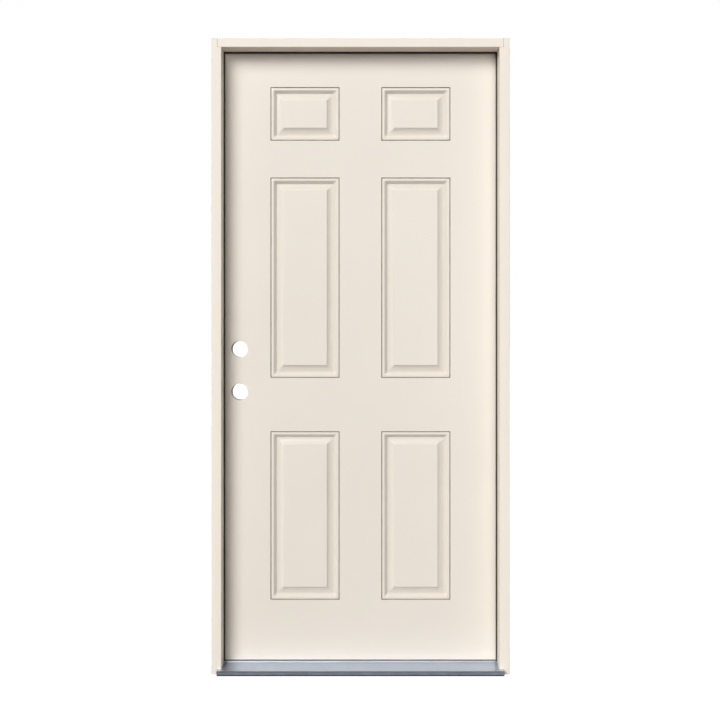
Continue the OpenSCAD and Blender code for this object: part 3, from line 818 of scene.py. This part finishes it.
def primed_wood(name, stretch, colour=(0.887, 0.812, 0.716), bare=(0.72, 0.56, 0.38),
                seam=(0.30, 0.26, 0.22)):
    material, tree, shader, place = new_material(name, IOR=1.45)
    coat = use(tree, film, Vector=place, Patch_Scale=4.0, Peel_Scale=380.0)
    fibre = use(tree, grain, Vector=place, Stretch=stretch, Scale=330.0)
    edge = use(tree, rub, Vector=place, Radius=0.9 * mm, Patchiness=45.0)
    tone = between(tree, coat.outputs["Tone"], 0, 1)
    base = blended(tree, tone, shade(colour, -mottle), shade(colour, mottle))
    streaky = blended(tree, between(tree, fibre.outputs["Streak"], 0, 0.3), base, shade(colour, -0.06))
    thin = add(tree, "Math", [edge.outputs["Edge"], 0.12], operation="MULTIPLY")
    worn = blended(tree, thin.outputs[0], streaky, bare)
    tree.links.new(blended(tree, corner_joint(tree, place), worn, seam), shader.inputs["Base Color"])
    tree.links.new(between(tree, coat.outputs["Gloss"], 0.52, 0.64), shader.inputs["Roughness"])
    lines = bump(tree, shader, fibre.outputs["Streak"], 0.12, 0.5)
    bump(tree, shader, coat.outputs["Peel"], 0.03, 0.5, below=lines)
    return material


upright_primer = primed_wood("Primed_wood_upright", (1, 1, 0.02))
level_primer = primed_wood("Primed_wood_level", (0.02, 1, 1))
print("made", upright_primer.name, "and", level_primer.name)

# %% [markdown]
# ### Bare pine and what else the door is filled with
# The stiles and rails are unpainted pine. Its growth rings show as warm bands along the length and as
# arcs on the cut ends: both come from one set of rings round a far-off centre line. The bottom rail is a
# damp-proof composite, and the core is a rigid foam of small closed cells. Round the lock bores' walls
# the pine is coloured a dark grey-brown.

# %% Pine, composite and foam
def near_bores(tree, place, reach):
    """1 within the reach of either lock bore's axis, which runs along Y."""
    flat = add(tree, "VectorMath", [place, (1, 0, 1)], operation="MULTIPLY").outputs[0]
    near = []
    for bore_x, bore_z in bores:
        away = add(tree, "VectorMath", [flat, (bore_x * mm, 0, bore_z * mm)], operation="DISTANCE")
        near.append(add(tree, "Math", [away.outputs["Value"], reach], operation="LESS_THAN").outputs[0])
    return add(tree, "Math", near, operation="MAXIMUM").outputs[0]


bore_wall_reach = 0.5


def pine(pale=(0.66, 0.47, 0.27), dark=(0.46, 0.27, 0.12), bore_wall_colour=(0.15, 0.13, 0.11)):
    material, tree, shader, place = new_material("Bare_pine", IOR=1.4)
    centre = add(tree, "Mapping", {"Vector": place, "Location": (0.11, 0.23, 0.0), "Scale": (1, 1, 0.05)})
    rings = add(tree, "TexWave", {"Vector": centre.outputs[0], "Scale": 60.0, "Distortion": 3.0,
                                  "Detail": 2.0, "Detail Scale": 0.8}, wave_type="RINGS", rings_direction="Z")
    fibre = use(tree, grain, Vector=place, Stretch=(1, 1, 0.02), Scale=500.0)
    late = add(tree, "Math", [rings.outputs["Fac"], 3.0], operation="POWER")
    wood = blended(tree, late.outputs[0], pale, dark)
    streak = between(tree, fibre.outputs["Streak"], 0, 0.35)
    streaky = blended(tree, streak, wood, shade(pale, -0.25))
    # The pine within a little of each lock bore's radius is coloured dark grey-brown.
    at_bore_wall = near_bores(tree, place, (bore_r + bore_wall_reach) * mm)
    tree.links.new(blended(tree, at_bore_wall, streaky, bore_wall_colour), shader.inputs["Base Color"])
    tree.links.new(between(tree, fibre.outputs["Fine"], 0.55, 0.72), shader.inputs["Roughness"])
    bump(tree, shader, fibre.outputs["Streak"], 0.15, 0.6)
    return material


def moulded(name, colour, roughness, fleck_scale, contrast, relief_mm):
    """A solid-coloured stuff with a fleck of its own size: composite board, foam or a soft pad."""
    material, tree, shader, place = new_material(name, IOR=1.45)
    fleck = add(tree, "TexVoronoi", {"Vector": place, "Scale": fleck_scale})
    cloud = add(tree, "TexNoise", {"Vector": place, "Scale": 30.0, "Detail": 4.0})
    tone = blended(tree, fleck.outputs["Distance"], shade(colour, contrast), shade(colour, -contrast))
    patch = between(tree, cloud.outputs["Fac"], 0, 0.4)
    tree.links.new(blended(tree, patch, tone, shade(colour, -contrast)), shader.inputs["Base Color"])
    tree.links.new(between(tree, cloud.outputs["Fac"], roughness - 0.06, roughness + 0.06),
                   shader.inputs["Roughness"])
    bump(tree, shader, fleck.outputs["Distance"], relief_mm, 0.7)
    return material


bare_pine = pine()
foam = moulded("Core_foam", (0.80, 0.70, 0.42), 0.8, 900.0, 0.12, 0.3)
composite = moulded("Rail_composite", (0.55, 0.47, 0.36), 0.65, 420.0, 0.1, 0.08)
board = moulded("Sill_board", (0.10, 0.10, 0.10), 0.7, 350.0, 0.2, 0.1)
pad = moulded("Corner_pad_foam", (0.12, 0.11, 0.10), 0.9, 1500.0, 0.25, 0.15)
cap = moulded("Sill_cap_composite", (0.42, 0.40, 0.37), 0.5, 700.0, 0.06, 0.03)
print("made", ", ".join(m.name for m in (bare_pine, foam, composite, board, pad, cap)))

# %% [markdown]
# ### Metals
# The sill is an aluminium extrusion left as it came from the die: slightly blue, with fine lines along
# its length that blur reflections across it. Shade is painted into the grooves of its nose as a dark
# colour. The hinges are satin steel, brushed along their height, and the screws are bright zinc. All
# three shine where hands and tools rub their edges.

# %% Aluminium, hinge steel and zinc
nose_y = corners("sill_deck")[0][1]
# Where shade is painted on the sill's nose: a band behind its front, over the floors of its grooves.
nose_shade_y, nose_shade_band, nose_shade_edge = nose_y + 0.4 * mm, 2 * mm, 0.5 * mm


def painted_groove_shade(tree, place):
    """1 in a band behind the nose's front, over its groove floors, where shade is painted."""
    y = add(tree, "SeparateXYZ", {"Vector": place}).outputs["Y"]
    behind, beyond = [
        add(tree, "MapRange", {"Value": y, "From Min": start, "From Max": start + nose_shade_edge}).outputs[0]
        for start in (nose_shade_y, nose_shade_y + nose_shade_band)]
    return add(tree, "Math", [behind, beyond], operation="SUBTRACT", use_clamp=True).outputs[0]


def worked_metal(name, colour, roughness, stretch, line_scale, line_mm, edge_radius, metallic=1.0,
                 nose_shade=None, rubbing=0.5):
    material, tree, shader, place = new_material(name, metallic=metallic)
    lines = use(tree, grain, Vector=place, Stretch=stretch, Scale=line_scale)
    coat = use(tree, film, Vector=place, Patch_Scale=9.0, Peel_Scale=900.0)
    edge = use(tree, rub, Vector=place, Radius=edge_radius * mm, Patchiness=120.0)
    tone = between(tree, lines.outputs["Streak"], 0, 1)
    base = blended(tree, tone, shade(colour, -0.07), shade(colour, 0.05))
    bright = add(tree, "Math", [edge.outputs["Edge"], rubbing], operation="MULTIPLY")
    rubbed = blended(tree, bright.outputs[0], base, shade(colour, 0.18))
    # Painted shade: the floors of the nose's grooves are blended towards a dark colour.
    if nose_shade:
        rubbed = blended(tree, painted_groove_shade(tree, place), rubbed, nose_shade)
    tree.links.new(rubbed, shader.inputs["Base Color"])
    tree.links.new(between(tree, coat.outputs["Gloss"], roughness - 0.05, roughness + 0.07),
                   shader.inputs["Roughness"])
    bump(tree, shader, lines.outputs["Fine"], line_mm, 0.5)
    return material


# The aluminium's last colour is painted shade for the grooves of its nose.
aluminium = worked_metal("Mill_aluminium", (0.53, 0.60, 0.71), 0.36, (0.01, 1, 1), 700.0, 0.03, 0.4, 0.85,
                         nose_shade=(0.09, 0.088, 0.085), rubbing=0.1)
hinge_steel = worked_metal("Satin_hinge_steel", (0.60, 0.60, 0.58), 0.34, (1, 1, 0.03), 900.0, 0.015, 0.35)
zinc = worked_metal("Zinc_screw", (0.66, 0.66, 0.62), 0.3, (1, 1, 1), 900.0, 0.01, 0.2)
print("made", aluminium.name, hinge_steel.name, zinc.name)

# %% [markdown]
# ### Vinyl
# The weatherstrips' cover and the sweep are dark brown vinyl. It has a soft satin sheen, fine lines from
# the die along its length, and a little pale dust that sits in patches.

# %% Seal vinyl
def seal_vinyl(name, stretch, colour=(0.052, 0.040, 0.028), dust_and_shade=(0.07, 0.06, 0.05)):
    material, tree, shader, place = new_material(name, IOR=1.5, Specular_IOR_Level=0.2)
    lines = use(tree, grain, Vector=place, Stretch=stretch, Scale=800.0)
    coat = use(tree, film, Vector=place, Patch_Scale=14.0, Peel_Scale=700.0)
    dust_and_shade_share = between(tree, coat.outputs["Gloss"], 0, 0.22)
    tree.links.new(blended(tree, dust_and_shade_share, colour, dust_and_shade), shader.inputs["Base Color"])
    tree.links.new(between(tree, coat.outputs["Tone"], 0.38, 0.55), shader.inputs["Roughness"])
    bump(tree, shader, lines.outputs["Streak"], 0.06, 0.5)
    return material


upright_vinyl = seal_vinyl("Seal_vinyl_upright", (1, 1, 0.02))
level_vinyl = seal_vinyl("Seal_vinyl_level", (0.02, 1, 1))
print("made", upright_vinyl.name, "and", level_vinyl.name)

# %% [markdown]
# ## Finishes on every piece
# The record says which finish each construction node has. A finish with a direction is chosen by the
# way its piece runs.

# %% Put the finishes on
finishes = {
    "primed_wood": upright_primer, "primed_steel": skin_primer, "mill_aluminium": aluminium, "sill_cap": cap,
    "sill_board": board, "seal_vinyl": upright_vinyl, "pad_foam": pad, "foam": foam, "pine": bare_pine,
    "composite": composite, "zinc_screw": zinc, "satin_steel": hinge_steel,
}
own_finishes = {"head_jamb": level_primer, "door_sweep": level_vinyl, "head_foam_strip": level_vinyl}


def coat(piece, material):
    """The material goes into the piece's slots, or into a new one if it has none."""
    if not piece.material_slots:
        piece.data.materials.append(material)
    for held in piece.material_slots:
        held.material = material


for part in frame["record"]["subparts"]:
    coat(frame["nodes"][part["node"]], own_finishes.get(part["node"], finishes[part["material_slot"]]))
for piece in [outer_pressing, inner_pressing, *strips, *screw_pieces]:
    coat(piece, own_finishes.get(piece.name, finishes[piece["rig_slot"]]))

# %% [markdown]
# ## Stage
# A plain pale floor runs far out on all sides. Its shader adds a little light of its own to what the
# camera sees directly, so that it fades into the white surroundings, and the soft shadow still shows.

# %% Floor
def pale_floor(reach=60.0, glow=0.92, drop=0.5 * mm):
    """One large square on the ground, a hair below the sill."""
    square = np.array([[-1, -1, 0], [1, -1, 0], [1, 1, 0], [-1, 1, 0]]) * reach - [0, 0, drop]
    floor = make_piece("pale_floor", square, np.array([[0, 1, 2, 3]]))
    material, tree, shader, place = new_material("Pale_floor", Roughness=0.9, Specular_IOR_Level=0.0)
    cloud = add(tree, "TexNoise", {"Vector": place, "Scale": 0.8, "Detail": 2.0})
    tree.links.new(blended(tree, cloud.outputs["Fac"], (0.19, 0.19, 0.19), (0.21, 0.21, 0.21)),
                   shader.inputs["Base Color"])
    seen = add(tree, "LightPath").outputs["Is Camera Ray"]
    shine = add(tree, "Math", [seen, glow], operation="MULTIPLY")
    light = add(tree, "Emission", {"Strength": shine.outputs[0]})
    both = add(tree, "AddShader", [shader.outputs[0], light.outputs[0]])
    tree.links.new(both.outputs[0], tree.nodes["Material Output"].inputs["Surface"])
    coat(floor, material)


pale_floor()
print("floor laid")

# %% [markdown]
# ## Light
# The main light comes from the upper left, in front. It is broad and far away, so it is even from top to
# bottom, and it throws the soft shadow of the deep frame on to the door's left and top edges. A weak light
# from the front right opens that shadow and draws a narrow one at the right edge. A third lights the
# back. The white surroundings fill the rest. They are faint as a light, brighter in what the metals
# mirror, and white to the camera.

# %% Lights and surroundings
stand_off = 5.0


def soft_light(name, azimuth, elevation, spread, strength):
    """A broad far light. Azimuth 0 is straight in front, towards -Y. The spread is the angle that it
    fills, so a wider one has softer shadows."""
    a, e = np.radians([azimuth, elevation])
    away = Vector((np.sin(a) * np.cos(e), -np.cos(a) * np.cos(e), np.sin(e)))
    lamp = bpy.data.lights.new(name, "SUN")
    lamp.angle = np.radians(spread)
    lamp.energy = strength
    light = bpy.data.objects.new(name, lamp)
    light.location = away * stand_off
    light.rotation_euler = away.to_track_quat("Z", "Y").to_euler()
    bpy.context.scene.collection.objects.link(light)


soft_light("key_light", azimuth=-25, elevation=27, spread=33, strength=2.88)
soft_light("front_light", azimuth=15, elevation=4, spread=18, strength=0.56)
soft_light("back_light", azimuth=150, elevation=30, spread=40, strength=3.1)

world = bpy.data.worlds.new("White_surroundings")
bpy.context.scene.world = world
world.use_nodes = True
sky = world.node_tree
surround = sky.nodes["Background"]
fill_strength, mirrored_strength, seen_strength = 0.03, 0.3, 1.0
path = add(sky, "LightPath")
unseen = add(sky, "MapRange", {"Value": path.outputs["Is Glossy Ray"],
                               "To Min": fill_strength, "To Max": mirrored_strength})
strength = add(sky, "MapRange", {"Value": path.outputs["Is Camera Ray"],
                                 "To Min": unseen.outputs[0], "To Max": seen_strength})
sky.links.new(strength.outputs[0], surround.inputs["Strength"])
surround.inputs["Color"].default_value = (1, 1, 1, 1)
bpy.context.scene.view_settings.view_transform = "Standard"

# %% [markdown]
# ## Camera
# The camera stands straight in front, a little above the door's middle, and looks level, so that the
# frame's uprights stay parallel. A small shift moves the picture down to the door's middle.

# %% Camera
camera_distance, camera_height = 3.66, 1.1
lens = bpy.data.cameras.new("front_camera")
lens.sensor_width = 36
lens.lens = 57.3
lens.shift_x, lens.shift_y = -0.00066, -0.0417
lens.clip_end = 200
camera = bpy.data.objects.new("front_camera", lens)
camera.location = (0, frame_front - camera_distance, camera_height)
camera.rotation_euler = (np.pi / 2, 0, 0)
bpy.context.scene.collection.objects.link(camera)
bpy.context.scene.camera = camera
print("camera at", [round(v, 3) for v in camera.location])
